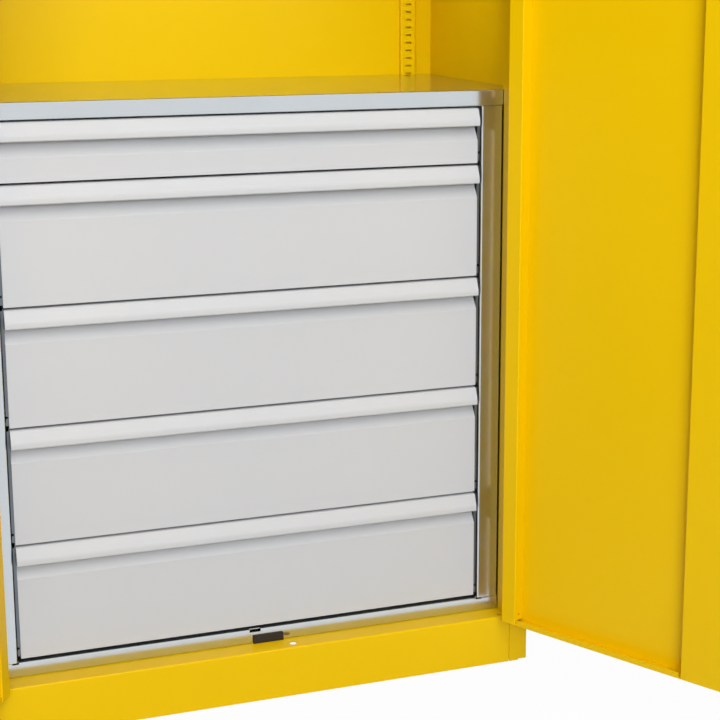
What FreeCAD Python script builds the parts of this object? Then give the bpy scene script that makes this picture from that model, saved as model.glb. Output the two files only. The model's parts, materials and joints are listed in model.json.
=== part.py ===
import FreeCAD, Part
import math
import os
import re
import Sketcher

# Heavy-duty cabinet: a folded steel carcass with two doors over a block of five drawers.
# X runs to the right, Y into the cabinet and Z up. The origin is on the floor, at mid width,
# in the front plane of the carcass. The doors stand open, as far as door_open says.

# Driving dimensions, in millimetres and degrees
SIZES = [
    ("width", 1000, "carcass, outside"),
    ("depth", 500, "carcass, outside"),
    ("height", 1950, "carcass, outside"),
    ("wall", 1.5, "carcass sheet"),
    ("bend", 1.5, "inner radius of every fold"),
    ("ledge_height", 90, "top of the floor panel above the floor"),
    ("foot_flange", 20, "fold under the plinth"),
    ("post_width", 43, "front face of a post"),
    ("post_depth", 38, "post, from its front face to its back"),
    ("leg_width", 35, "front face of a post beside the plinth"),
    ("leg_seam", 1.2, "groove between the plinth and a leg"),
    ("leg_tab", 17, "width of the leg that stays clear of the floor"),
    ("floor_clearance", 2, "side panel above the floor"),
    ("rear_flange", 30, "fold behind the back panel"),
    ("header_height", 35, "front face over the doors"),
    ("lip", 12, "last fold of an edge"),
    ("drain_radius", 3.5, "drain holes in the ledge"),
    ("drain_inset", 52, "drain hole from the outer side"),
    ("drain_setback", 12, "drain hole behind the front plane"),
    ("strip_width", 31.5, "slotted strip"),
    ("strip_depth", 12, "slotted strip"),
    ("strip_inset", 54, "middle of a rear strip from the outer side"),
    ("post_strip_gap", 2, "front strip from the post's inner face"),
    ("slot_width", 11.5, "slot in a strip"),
    ("slot_height", 3.5, "slot in a strip"),
    ("slot_pitch", 15, "slots, middle to middle"),
    ("first_slot", 2.5, "first slot above the block"),
    ("lower_shelf_step", 9, "slots of a front strip below the lower shelf"),
    ("upper_shelf_step", 19, "slots of a front strip below the upper shelf"),
    ("shelf_rim", 25, "height of a shelf's folded edge"),
    ("shelf_play", 3, "shelf to strips and sides"),
    ("hook_width", 10, "shelf hook"),
    ("hook_sheet", 1.5, "shelf hook"),
    ("hook_seat", 17, "depth of the hook's seat"),
    ("hook_rise", 6, "seat above the middle of its slot"),
    ("hook_play", 0.3, "hook behind the strip"),
    ("zinc_wall", 1.2, "sheet of the drawer block, shelves and drawers"),
    ("setback", 40.5, "front of the block behind the front plane"),
    ("block_top_height", 1049, "top of the block above the floor"),
    ("rim_height", 28, "front rim of the block's top"),
    ("rim_fold", 15, "fold under the rim"),
    ("tray_height", 116, "top of the block's tray above the floor"),
    ("block_play", 0.5, "block to each post"),
    ("block_flange", 40, "front face of a block side"),
    ("block_back", 490, "back of the block's sides"),
    ("notch_middle", -6.7, "notch in the tray's edge"),
    ("notch_width", 20, "notch in the tray's edge"),
    ("notch_depth", 5, "notch in the tray's edge"),
    ("foot_slot_width", 11, "slot in the tray's edge under a block side"),
    ("foot_slot_height", 3, "slot in the tray's edge under a block side"),
    ("foot_slot_inset", 2, "slot from the inner face of a block side"),
    ("pad_middle", 16.5, "stop pad"),
    ("pad_width", 55, "stop pad"),
    ("pad_height", 15, "stop pad"),
    ("pad_depth", 3, "stop pad"),
    ("pad_corner", 2, "stop pad"),
    ("stack_height", 120, "lowest drawer's seam above the floor"),
    ("tall_pitch", 200, "seam to seam of a tall drawer"),
    ("low_pitch", 100, "seam to seam of the low drawer"),
    ("seam", 4, "gap between two drawer fronts"),
    ("front_side_gap", 6.5, "drawer front to block side"),
    ("front_setback", 43, "flat face of a drawer front behind the front plane"),
    ("grip_reach", 11, "grip in front of the flat face"),
    ("grip_height", 31, "grip"),
    ("grip_radius", 6, "shoulder of the grip"),
    ("grip_slope", 9, "top of the grip behind its front"),
    ("grip_foot", 10, "upright part of the grip"),
    ("grip_lip", 6, "fold under the grip"),
    ("recess_depth", 16, "finger recess behind the flat face"),
    ("slant_height", 24, "slanted band below the recess"),
    ("box_back", 470, "back of a drawer box"),
    ("box_drop", 24, "top of a drawer box below its upper seam"),
    ("box_lift", 6, "floor of a drawer box above its lower seam"),
    ("box_hem", 8, "fold along the top of a drawer box"),
    ("slide_gap", 13, "drawer box to block side"),
    ("slide_height", 26, "telescopic slide"),
    ("slide_lift", 3.5, "slide above the drawer's lower seam"),
    ("slide_length", 406, "telescopic slide"),
    ("slide_channel", 6, "depth of the outer and of the inner rail"),
    ("slide_play", 0.5, "between two rails"),
    ("slide_setback", 1, "slide behind the front of its drawer box"),
    ("slide_web", 1.6, "web and flanges of the middle rail"),
    ("door_wall", 1.2, "door sheet"),
    ("door_thickness", 25, "door"),
    ("door_bend", 0.5, "inner radius of a door's folds"),
    ("door_gap", 2.5, "round each door"),
    ("door_open", 119, "degrees that the doors stand open"),
    ("hinge_box", 30, "folded edge on the hinge side"),
    ("lock_box", 79, "folded edge on the lock side"),
    ("door_lip", 10, "fold up from the door's lower edge"),
    ("relief", 4, "cut where two folds meet"),
    ("corner_notch", 7.5, "notch at the ends of the hinge box, from the door's end"),
    ("corner_notch_reach", 7, "notch from the door's back"),
    ("drip_hole_radius", 2, "hole near the ends of the hinge box"),
    ("drip_hole_lift", 17.5, "hole from the door's end"),
    ("drip_hole_reach", 12.5, "hole from the door's back"),
    ("hinge_out", 4.8, "hinge axis in front of the front plane"),
    ("hinge_side", 3.5, "hinge axis outside the post's inner face"),
    ("knuckle_radius", 4.5, "hinge"),
    ("knuckle_length", 28, "hinge, each half"),
    ("knuckle_play", 0.3, "between the halves"),
    ("knuckle_foot", 8, "weld foot of a knuckle"),
    ("pin_radius", 2.5, "hinge pin"),
    ("running_fit", 0.05, "radial play of a pin in its bore"),
    ("hinge_end", 160, "first and last hinge from the door's ends"),
    ("strip_overlap", 20, "closing strip past the middle"),
    ("strip_landing", 22, "closing strip on its own door"),
    ("strip_end", 2, "closing strip short of the door's ends"),
    ("strike_depth", 5, "closing strip behind the doors"),
    ("strike_play", 0.4, "closing strip to the other door"),
    ("rod_middle", 56, "lock rods from the middle of the cabinet"),
    ("rod_setback", 18.5, "lock rods behind the front plane"),
    ("rod_radius", 4.5, "lock rod"),
    ("rod_hole_radius", 6.5, "hole that takes a lock rod"),
    ("rod_play", 1, "lock rod in the door's edge"),
    ("rod_reach", 15, "locked rod past the door's edge"),
    ("lock_height", 1040, "lock above the floor"),
    ("crank", 14, "cam pins from the lock's axis"),
    ("cam_radius", 19, "cam disc"),
    ("cam_wall", 3, "cam disc"),
    ("cam_pin_radius", 3, "cam pin"),
    ("yoke_play", 0.6, "cam pin in its slot"),
    ("yoke_wall", 3, "flat head of a lock rod"),
    ("yoke_margin", 4.5, "flat head past its slot"),
    ("cam_gap", 1, "cam disc to the rods' heads, and head to head"),
    ("yoke_half", 20, "flat head of a lock rod, from the axis"),
    ("yoke_drop", 30, "round part of a rod from its slot"),
    ("spindle_radius", 5, "lock spindle"),
    ("plate_width", 36, "handle plate"),
    ("plate_length", 120, "handle plate"),
    ("plate_wall", 8, "handle plate"),
    ("boss_radius", 15, "boss of the handle"),
    ("boss_length", 20, "boss of the handle"),
    ("lever_length", 96, "handle, from its axis"),
    ("lever_end_radius", 8, "handle tip"),
    ("lever_wall", 12, "handle"),
    ("core_radius", 6, "lock core"),
    ("core_depth", 12, "lock core"),
    ("key_length", 7.2, "keyway"),
    ("key_width", 2.4, "keyway"),
    ("guide_height", 14, "rod guide"),
    ("guide_half", 12, "rod guide"),
    ("guide_spread", 420, "rod guides from the lock"),
]

HALF = "(width / 2)"
POST_INNER = f"({HALF} - post_width)"
LEG_INNER = f"({HALF} - leg_width)"
INSIDE = f"({HALF} - wall)"
REAR = "(depth - 2 * wall)"
ROOF = "(height - wall)"
SHELF_STEP = "(2 * slot_pitch)"
REAR_STRIP = f"({HALF} - strip_inset)"
POST_STRIP = f"({POST_INNER} + post_strip_gap + strip_width / 2)"
RIM_LOW = "(block_top_height - rim_height)"
BLOCK_HALF = f"({POST_INNER} - block_play - block_flange)"
FRONT_HALF = f"({BLOCK_HALF} - front_side_gap)"
BOX_HALF = f"({BLOCK_HALF} - slide_gap)"
RECESS = "(front_setback + recess_depth)"
BOX_FRONT = f"({RECESS} + zinc_wall)"
RAIL_FRONT = f"({BOX_FRONT} + slide_setback)"
GRIP_FRONT = "(front_setback - grip_reach)"
HINGE_X = f"({POST_INNER} + hinge_side)"
DOOR_LOW = "(ledge_height + door_gap)"
DOOR_HIGH = "(height - header_height - door_gap)"
# The door's own frame has its origin on the hinge axis, with the closed door towards -X
DOOR_EDGE = "(-hinge_side - door_gap)"
DOOR_FREE = f"(door_gap / 2 - {HINGE_X})"
SKIN = "hinge_out"
DOOR_BACK = "(hinge_out + door_thickness)"
ROD_X = f"(rod_middle - {HINGE_X})"
ROD_Y = "(hinge_out + rod_setback)"
PIN_REACH = "(crank * sqrt(2) / 2)"
CAM_FACE = f"({ROD_Y} - yoke_wall / 2 - cam_gap)"
DRAWERS = ["low_pitch", "tall_pitch", "tall_pitch", "tall_pitch", "tall_pitch"]
RIGHT, LEFT = 1, -1
NODES = []

doc = FreeCAD.newDocument("drawer_cabinet")
sizes = doc.addObject("Spreadsheet::Sheet", "Sizes")
for row, (name, value, meaning) in enumerate(SIZES, 1):
    sizes.set(f"A{row}", meaning)
    sizes.set(f"B{row}", str(value))
    sizes.setAlias(f"B{row}", name)
doc.recompute()
NAMES = {name for name, value, meaning in SIZES}


def bound(text):
    """The expression with each size read from the sheet."""
    return re.sub(r"[a-z_]+", lambda word: f"Sizes.{word[0]}" if word[0] in NAMES else word[0], text)


def real(text):
    """The value of an expression."""
    return float(sizes.evalExpression(bound(text)))


def new_body(label):
    """A body of its own for one piece, or for one group of like pieces."""
    body = doc.addObject("PartDesign::Body", label)
    body.AllowCompound = True
    NODES.append(body)
    return body


def hang_on_door(body, side):
    """Places a piece, drawn in the closed door's frame, on its hinge at the open angle."""
    body.setExpression("Placement.Base.x", bound(f"{side} * {HINGE_X}"))
    body.setExpression("Placement.Base.y", bound("-hinge_out"))
    body.Placement.Rotation = FreeCAD.Rotation(FreeCAD.Vector(0, 0, 1), side * real("door_open"))
    body.setExpression("Placement.Rotation.Angle", bound(f"{side} * door_open"))


def mirrored(corners, side):
    """The corners on the right or left of the middle plane."""
    return [(f"{side} * ({x})", y, radius) for x, y, radius in corners]


def folded(path, sheet, inside):
    """Closed outline of a sheet folded along a path, with its thickness to one side of it.

    inside is 1 where the thickness lies left of the path and -1 where it lies right.
    A corner of the path may name the inner radius of its fold, or None for a sharp one."""
    spots = [FreeCAD.Vector(real(corner[0]), real(corner[1]), 0) for corner in path]
    ways = [(b - a).normalize() for a, b in zip(spots, spots[1:])]
    normals = [FreeCAD.Vector(-inside * way.y, inside * way.x, 0) for way in ways]
    last = len(path) - 1
    face, back = [], []
    for index, (x, y, *own) in enumerate(path):
        before, after = normals[max(index - 1, 0)], normals[min(index, last - 1)]
        shift = (before + after) / (1 + before.dot(after))
        moved = (f"{x} + {shift.x:.6f} * {sheet}", f"{y} + {shift.y:.6f} * {sheet}")
        if index in (0, last):
            face.append((x, y, None))
            back.append((*moved, None))
            continue
        inner = own[0] if own else "bend"
        outer = f"{inner} + {sheet}" if inner else None
        path_is_outside = before.cross(after).z * inside > 0
        face.append((x, y, outer if path_is_outside else inner))
        back.append((*moved, inner if path_is_outside else outer))
    return face + back[::-1]


def rectangle(x_low, y_low, x_high, y_high, radius=None):
    """The corners of a rectangle, rounded where a radius is given."""
    corners = [(x_low, y_low), (x_high, y_low), (x_high, y_high), (x_low, y_high)]
    return [(x, y, radius) for x, y in corners]


def new_sketch(body, plane, level):
    """A sketch on one of the body's base planes, moved along its axis to a level."""
    sketch = body.newObject("Sketcher::SketchObject", f"{body.Label}_sketch")
    base = [item for item in body.Origin.OriginFeatures if item.Role == f"{plane}_Plane"][0]
    sketch.AttachmentSupport = [(base, "")]
    sketch.MapMode = "FlatFace"
    sketch.setExpression("AttachmentOffset.Base.z", bound(f"-({level})" if plane == "XZ" else level))
    return sketch


def fix_point(sketch, geometry, end, x, y):
    """Ties a point of the sketch to two expressions."""
    for kind, text in (("DistanceX", x), ("DistanceY", y)):
        index = sketch.addConstraint(Sketcher.Constraint(kind, -1, 1, geometry, end, real(text)))
        sketch.setExpression(f"Constraints[{index}]", bound(text))


def draw_outline(sketch, corners):
    """Draws a closed outline of straight lines, with an arc at each corner that has a radius."""
    spots = [FreeCAD.Vector(real(x), real(y), 0) for x, y, radius in corners]
    count = len(corners)
    arrive, leave, arcs = [], [], []
    for index, (x, y, radius) in enumerate(corners):
        here = spots[index]
        to_last = (spots[index - 1] - here).normalize()
        to_next = (spots[(index + 1) % count] - here).normalize()
        if radius is None:
            arrive.append(here)
            leave.append(here)
            arcs.append(None)
            continue
        half = to_last.getAngle(to_next) / 2
        size = real(radius)
        reach = size / math.tan(half)
        start, finish = here + to_last * reach, here + to_next * reach
        centre = here + (to_last + to_next).normalize() * (size / math.sin(half))
        arrive.append(start)
        leave.append(finish)
        arcs.append((centre, size, start, finish, to_last.cross(to_next).z < 0))
    lines = [
        sketch.addGeometry(Part.LineSegment(leave[index], arrive[(index + 1) % count]))
        for index in range(count)
    ]
    for index, (x, y, radius) in enumerate(corners):
        before, after = lines[index - 1], lines[index]
        if arcs[index] is None:
            sketch.addConstraint(Sketcher.Constraint("Coincident", before, 2, after, 1))
            fix_point(sketch, after, 1, x, y)
            continue
        centre, size, start, finish, left_turn = arcs[index]
        first, second = (start, finish) if left_turn else (finish, start)
        angles = [math.atan2(spot.y - centre.y, spot.x - centre.x) for spot in (first, second)]
        circle = Part.Circle(centre, FreeCAD.Vector(0, 0, 1), size)
        arc = sketch.addGeometry(Part.ArcOfCircle(circle, *angles))
        near, far = (1, 2) if left_turn else (2, 1)
        sketch.addConstraint(Sketcher.Constraint("Tangent", before, 2, arc, near))
        sketch.addConstraint(Sketcher.Constraint("Tangent", arc, far, after, 1))
        index = sketch.addConstraint(Sketcher.Constraint("Radius", arc, size))
        sketch.setExpression(f"Constraints[{index}]", bound(radius))
        corner = sketch.addGeometry(Part.Point(FreeCAD.Vector(real(x), real(y), 0)), True)
        fix_point(sketch, corner, 1, x, y)
        sketch.addConstraint(Sketcher.Constraint("PointOnObject", corner, 1, before))
        sketch.addConstraint(Sketcher.Constraint("PointOnObject", corner, 1, after))


def draw_circles(sketch, centres, radius):
    """Draws circles of one radius."""
    for x, y in centres:
        middle = FreeCAD.Vector(real(x), real(y), 0)
        circle = sketch.addGeometry(Part.Circle(middle, FreeCAD.Vector(0, 0, 1), real(radius)))
        fix_point(sketch, circle, 3, x, y)
        index = sketch.addConstraint(Sketcher.Constraint("Radius", circle, real(radius)))
        sketch.setExpression(f"Constraints[{index}]", bound(radius))


def raise_pad(body, sketch, plane, low, high):
    """Pads a sketch from a low to a high level along the plane's axis."""
    pad = body.newObject("PartDesign::Pad", f"{body.Label}_pad")
    pad.Profile = sketch
    pad.setExpression("Length", bound(f"({high}) - ({low})"))
    pad.Reversed = plane == "XZ"
    return pad


def sink_pocket(body, sketch, plane, low, high):
    """Cuts a sketch out of the body from a low to a high level along the plane's axis."""
    pocket = body.newObject("PartDesign::Pocket", f"{body.Label}_pocket")
    pocket.Profile = sketch
    pocket.setExpression("Length", bound(f"({high}) - ({low})"))
    pocket.Reversed = plane != "XZ"
    return pocket


def add(body, plane, corners, low, high):
    """Adds an outline to a body."""
    sketch = new_sketch(body, plane, low)
    draw_outline(sketch, corners)
    return raise_pad(body, sketch, plane, low, high)


def add_round(body, plane, centres, radius, low, high):
    """Adds round bars to a body."""
    sketch = new_sketch(body, plane, low)
    draw_circles(sketch, centres, radius)
    return raise_pad(body, sketch, plane, low, high)


def cut(body, plane, corners, low, high):
    """Cuts an outline out of a body."""
    sketch = new_sketch(body, plane, low)
    draw_outline(sketch, corners)
    return sink_pocket(body, sketch, plane, low, high)


def cut_round(body, plane, centres, radius, low, high):
    """Cuts round holes in a body."""
    sketch = new_sketch(body, plane, low)
    draw_circles(sketch, centres, radius)
    return sink_pocket(body, sketch, plane, low, high)


# Carcass


def side_panel(label, side):
    """A side wall that folds into the box of the front post and the flange behind the back."""
    body = new_body(label)
    path = [
        (f"{HALF} - rear_flange", "depth"),
        (HALF, "depth"),
        (HALF, "0"),
        (POST_INNER, "0"),
        (POST_INNER, "post_depth", None),
        (f"{INSIDE} - wall", "post_depth"),
    ]
    add(body, "XY", mirrored(folded(path, "wall", -1), side), "0", ROOF)
    face_notch = rectangle(f"{POST_INNER} - wall", "-wall", LEG_INNER, "2 * wall")
    cut(body, "XY", mirrored(face_notch, side), "-wall", "ledge_height")
    box_notch = rectangle(f"{POST_INNER} - wall", "wall", INSIDE, "post_depth + wall")
    cut(body, "XY", mirrored(box_notch, side), "-wall", "ledge_height")
    heel = rectangle(f"{HALF} - leg_tab", "-wall", f"{HALF} + wall", "depth + wall")
    cut(body, "XY", mirrored(heel, side), "-wall", "floor_clearance")
    base = rectangle(f"{INSIDE} - foot_flange", "floor_clearance", INSIDE, "floor_clearance + wall")
    add(body, "XZ", mirrored(base, side), "2 * foot_flange", f"{REAR} - 2 * foot_flange")


def back_panel():
    """The back wall, held inside the rear flanges of the side panels."""
    body = new_body("back_panel")
    end = f"({INSIDE} - bend)"
    add(body, "XZ", rectangle(f"-{end}", "ledge_height / 2", end, ROOF), REAR, f"{REAR} + wall")


def roof_panel():
    """The roof, folded down at the front into the header over the doors."""
    body = new_body("roof_panel")
    path = [
        ("post_depth", "height - header_height + lip"),
        ("post_depth", "height - header_height", None),
        ("0", "height - header_height"),
        ("0", "height"),
        ("2 * post_depth", "height"),
    ]
    add(body, "YZ", folded(path, "wall", -1), f"-{POST_INNER}", POST_INNER)
    add(body, "YZ", rectangle("wall", ROOF, "depth", "height"), f"-{HALF}", HALF)
    corner = rectangle(POST_INNER, ROOF, HALF, "height")
    add(body, "XZ", corner, "0", "2 * wall")
    add(body, "XZ", mirrored(corner, LEFT), "0", "2 * wall")
    hole = [("rod_middle", "rod_setback")]
    cut_round(body, "XY", hole, "rod_hole_radius", "height - header_height - wall",
              "height - header_height + 2 * wall")


def floor_panel():
    """The floor, whose front folds down over a ledge to make the plinth."""
    body = new_body("floor_panel")
    path = [
        ("foot_flange", "0"),
        ("0", "0", None),
        ("0", "ledge_height"),
        (REAR, "ledge_height", None),
        (REAR, "0", None),
        (f"{REAR} - foot_flange", "0"),
    ]
    add(body, "YZ", folded(path, "wall", -1), f"-{LEG_INNER}", LEG_INNER)
    wing = [
        (f"{LEG_INNER} - wall", "ledge_height"),
        (INSIDE, "ledge_height", None),
        (INSIDE, "ledge_height - foot_flange"),
    ]
    groove = rectangle(f"{LEG_INNER} - leg_seam", "-wall", f"{LEG_INNER} + wall", "2 * wall")
    for side in (RIGHT, LEFT):
        add(body, "XZ", mirrored(folded(wing, "wall", -1), side), "wall", REAR)
        cut(body, "XY", mirrored(groove, side), "-wall", "ledge_height - 2 * wall")
    drains = [(f"{side} * ({HALF} - drain_inset)", "drain_setback") for side in (RIGHT, LEFT)]
    cut_round(body, "XY", drains, "drain_radius", "ledge_height - 2 * wall", "ledge_height + wall")
    hole = [("rod_middle", "rod_setback")]
    cut_round(body, "XY", hole, "rod_hole_radius", "ledge_height - 2 * wall", "ledge_height + wall")


def slotted_strip(label, side, face, back):
    """A channel with a row of slots that take the shelf hooks; a front one has every second slot."""
    body = new_body(label)
    if back == REAR:
        middle, pitch, inside = REAR_STRIP, "slot_pitch", 1
    else:
        middle, pitch, inside = POST_STRIP, SHELF_STEP, -1
    path = [
        (f"{middle} - strip_width / 2", back),
        (f"{middle} - strip_width / 2", face),
        (f"{middle} + strip_width / 2", face),
        (f"{middle} + strip_width / 2", back),
    ]
    add(body, "XY", mirrored(folded(path, "wall", inside), side), "block_top_height", ROOF)
    slot_low = "block_top_height + first_slot - slot_height / 2"
    slot = rectangle(
        f"{middle} - slot_width / 2", slot_low,
        f"{middle} + slot_width / 2", f"{slot_low} + slot_height",
    )
    low = f"{face} - 2 * wall"
    pocket = cut(body, "XZ", mirrored(slot, side), low, f"{face} + 2 * wall")
    row = body.newObject("PartDesign::LinearPattern", f"{label}_row")
    row.Originals = [pocket]
    upright = [item for item in body.Origin.OriginFeatures if item.Role == "Z_Axis"][0]
    row.Direction = (upright, [""])
    steps = f"floor(({ROOF} - block_top_height - 2 * first_slot) / ({pitch}))"
    row.setExpression("Length", bound(f"{steps} * {pitch}"))
    row.setExpression("Occurrences", bound(f"{steps} + 1"))
    body.Tip = row


def shelf_bottom(step):
    """Height of the underside of a shelf that hangs this many front slots up."""
    return f"(block_top_height + first_slot + {step} * {SHELF_STEP} + hook_rise)"


def shelf(label, step):
    """An adjustable shelf with edges folded down on all sides."""
    body = new_body(label)
    low = shelf_bottom(step)
    high = f"({low} + shelf_rim)"
    front, back = "(post_depth + strip_depth + shelf_play)", f"({REAR} - strip_depth - shelf_play)"
    path = [
        (f"{front} + lip", low), (front, low), (front, high),
        (back, high), (back, low), (f"{back} - lip", low),
    ]
    end = f"({INSIDE} - shelf_play)"
    add(body, "YZ", folded(path, "zinc_wall", -1), f"-{end}", end)
    inset = "zinc_wall / 2"
    side_edge = rectangle(f"{front} + {inset}", low, f"{back} - {inset}", f"{high} - {inset}")
    add(body, "YZ", side_edge, f"{end} - zinc_wall", end)
    add(body, "YZ", side_edge, f"-{end}", f"zinc_wall - {end}")


def shelf_hooks():
    """Four hooks under each shelf, hung in the slots of the strips."""
    body = new_body("shelf_hooks")
    places = [
        (REAR_STRIP, f"({REAR} - strip_depth)", "1"),
        (POST_STRIP, "(post_depth + strip_depth)", "-1"),
    ]
    for step in ("lower_shelf_step", "upper_shelf_step"):
        seat = shelf_bottom(step)
        middle = f"({seat} - hook_rise)"
        for across, face, way in places:
            behind = f"{face} + {way} * (wall + hook_play)"
            tip = f"{behind} + {way} * hook_sheet"
            notch = f"({middle} - slot_height / 2)"
            shoulder = f"({notch} + 2 * hook_sheet)"
            corners = [
                (f"{face} - {way} * hook_seat", seat, None),
                (face, seat, None),
                (face, shoulder, None),
                (tip, shoulder, None),
                (tip, f"{notch} - 2 * hook_sheet", None),
                (behind, f"{notch} - 2 * hook_sheet", None),
                (behind, notch, None),
                (face, notch, None),
                (face, f"{notch} - slot_height", None),
                (f"{face} - {way} * hook_sheet", f"{notch} - slot_height", None),
                (f"{face} - {way} * hook_sheet", f"{seat} - hook_sheet", None),
                (f"{face} - {way} * hook_seat", f"{seat} - hook_sheet", None),
            ]
            for side in (RIGHT, LEFT):
                start = f"{side} * {across} - hook_width / 2"
                add(body, "YZ", corners, start, f"{start} + hook_width")


# Drawer block


def block_top():
    """The top of the drawer block, which is also the lowest shelf."""
    body = new_body("block_top")
    path = [
        ("setback + rim_fold", RIM_LOW), ("setback", RIM_LOW), ("setback", "block_top_height"),
        (REAR, "block_top_height", None), (REAR, "block_top_height - shelf_rim"),
    ]
    end = f"({INSIDE} - zinc_wall)"
    add(body, "YZ", folded(path, "zinc_wall", -1), f"-{end}", end)


def block_side(label, side):
    """A side of the block: it carries the slides, and its front flange is the upright."""
    body = new_body(label)
    path = [
        (f"{BLOCK_HALF} + 2 * lip", "block_back"), (BLOCK_HALF, "block_back", None), (BLOCK_HALF, "setback"),
        (f"{BLOCK_HALF} + block_flange", "setback"), (f"{BLOCK_HALF} + block_flange", "setback + lip"),
    ]
    add(body, "XY", mirrored(folded(path, "zinc_wall", 1), side), "tray_height", RIM_LOW)


def block_tray():
    """The tray under the drawers, whose front edge stands on the ledge."""
    body = new_body("block_tray")
    path = [
        ("setback + lip", "ledge_height"), ("setback", "ledge_height"), ("setback", "tray_height"),
        ("block_back", "tray_height", None), ("block_back", "ledge_height", None),
        ("block_back - lip", "ledge_height"),
    ]
    end = f"({BLOCK_HALF} + block_flange)"
    add(body, "YZ", folded(path, "zinc_wall", -1), f"-{end}", end)
    notch = rectangle(
        "notch_middle - notch_width / 2", "tray_height - notch_depth",
        "notch_middle + notch_width / 2", "tray_height + wall",
    )
    cut(body, "XZ", notch, "setback - wall", "setback + notch_depth")
    slot_start = f"{BLOCK_HALF} - foot_slot_inset"
    slot = rectangle(
        slot_start, "tray_height - foot_slot_height",
        f"{slot_start} + foot_slot_width", "tray_height + wall",
    )
    for side in (RIGHT, LEFT):
        cut(body, "XZ", mirrored(slot, side), "setback - wall", "setback + notch_depth")


def stop_pad():
    """The rubber pad on the ledge that the closing strip comes up to."""
    body = new_body("stop_pad")
    pad = rectangle(
        "pad_middle - pad_width / 2", "ledge_height",
        "pad_middle + pad_width / 2", "ledge_height + pad_height", "pad_corner",
    )
    add(body, "XZ", pad, "setback - pad_depth", "setback")


# Drawers


def rail_levels(seam):
    """Lower and upper level of a slide."""
    low = f"({seam} + slide_lift)"
    return low, f"({low} + slide_height)"


def outer_rails(label, seam):
    """A pair of outer rails, fixed to the sides of the block."""
    body = new_body(label)
    low, high = rail_levels(seam)
    path = [
        (f"{BLOCK_HALF} - slide_channel", low), (BLOCK_HALF, low, None),
        (BLOCK_HALF, high, None), (f"{BLOCK_HALF} - slide_channel", high),
    ]
    for side in (RIGHT, LEFT):
        channel = mirrored(folded(path, "zinc_wall", 1), side)
        add(body, "XZ", channel, RAIL_FRONT, f"{RAIL_FRONT} + slide_length")


def inner_rails(label, seam):
    """A pair of inner rails, fixed to the sides of a drawer box."""
    body = new_body(label)
    low, high = rail_levels(seam)
    path = [
        (f"{BOX_HALF} + slide_channel", low), (BOX_HALF, low, None),
        (BOX_HALF, high, None), (f"{BOX_HALF} + slide_channel", high),
    ]
    for side in (RIGHT, LEFT):
        channel = mirrored(folded(path, "zinc_wall", -1), side)
        add(body, "XZ", channel, RAIL_FRONT, f"{RAIL_FRONT} + slide_length")


def middle_rails(label, seam):
    """A pair of middle rails, which run inside the outer and the inner rails."""
    body = new_body(label)
    low, high = rail_levels(seam)
    play = "(zinc_wall + slide_play)"
    near, far = f"({BOX_HALF} + {play})", f"({BLOCK_HALF} - {play})"
    web_near, web_far = f"(({near} + {far} - slide_web) / 2)", f"(({near} + {far} + slide_web) / 2)"
    low, high = f"({low} + {play})", f"({high} - {play})"
    corners = [
        (near, low), (far, low), (far, f"{low} + slide_web"), (web_far, f"{low} + slide_web"),
        (web_far, f"{high} - slide_web"), (far, f"{high} - slide_web"), (far, high), (near, high),
        (near, f"{high} - slide_web"), (web_near, f"{high} - slide_web"),
        (web_near, f"{low} + slide_web"), (near, f"{low} + slide_web"),
    ]
    beam = [(x, z, None) for x, z in corners]
    for side in (RIGHT, LEFT):
        add(body, "XZ", mirrored(beam, side), RAIL_FRONT, f"{RAIL_FRONT} + slide_length")


def drawer_box(label, seam, pitch):
    """An open sheet box with a hem along its sides."""
    body = new_body(label)
    low, high = f"({seam} + box_lift)", f"({seam} + {pitch} - box_drop)"
    path = [
        (f"box_hem - {BOX_HALF}", high), (f"-{BOX_HALF}", high, None), (f"-{BOX_HALF}", low),
        (BOX_HALF, low), (BOX_HALF, high, None), (f"{BOX_HALF} - box_hem", high),
    ]
    add(body, "XZ", folded(path, "zinc_wall", 1), BOX_FRONT, "box_back")
    end = rectangle(f"zinc_wall / 2 - {BOX_HALF}", low, f"{BOX_HALF} - zinc_wall / 2", high)
    end = [(x, f"{z} + zinc_wall / 2" if z == low else f"{z} - zinc_wall / 2", r) for x, z, r in end]
    add(body, "XZ", end, BOX_FRONT, f"{BOX_FRONT} + zinc_wall")
    add(body, "XZ", end, "box_back - zinc_wall", "box_back")


def drawer_front(label, seam, pitch):
    """A front folded from one sheet: flat face, slanted band, finger recess and rounded grip."""
    body = new_body(label)
    low, high = f"({seam} + seam / 2)", f"({seam} + {pitch} - seam / 2)"
    inner = f"({GRIP_FRONT} + zinc_wall)"
    under = f"({high} - grip_height)"
    band_high, band_low = f"({under} - bend)", f"({under} - bend - slant_height)"
    path = [
        (BOX_FRONT, low),
        ("front_setback", low, None),
        ("front_setback", band_low),
        (RECESS, band_high),
        (RECESS, f"{high} - zinc_wall", None),
        (f"{inner} + grip_slope", f"{high} - zinc_wall", "grip_radius"),
        (inner, f"{under} + grip_foot", "2 * grip_radius"),
        (inner, f"{under} + zinc_wall"),
        (f"{inner} + grip_lip", f"{under} + zinc_wall"),
    ]
    add(body, "YZ", folded(path, "zinc_wall", -1), f"-{FRONT_HALF}", FRONT_HALF)
    cheek = [
        ("front_setback + zinc_wall / 2", f"{low} + zinc_wall / 2", None),
        (BOX_FRONT, f"{low} + zinc_wall / 2", None),
        (BOX_FRONT, f"{high} - 2 * bend - zinc_wall", None),
        (f"{RECESS} + zinc_wall / 2", f"{high} - 2 * bend - zinc_wall", None),
        (f"{RECESS} + zinc_wall / 2", band_high, None),
        ("front_setback + zinc_wall / 2", band_low, None),
    ]
    add(body, "YZ", cheek, f"{FRONT_HALF} - zinc_wall", FRONT_HALF)
    add(body, "YZ", cheek, f"-{FRONT_HALF}", f"zinc_wall - {FRONT_HALF}")


# Doors


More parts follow.
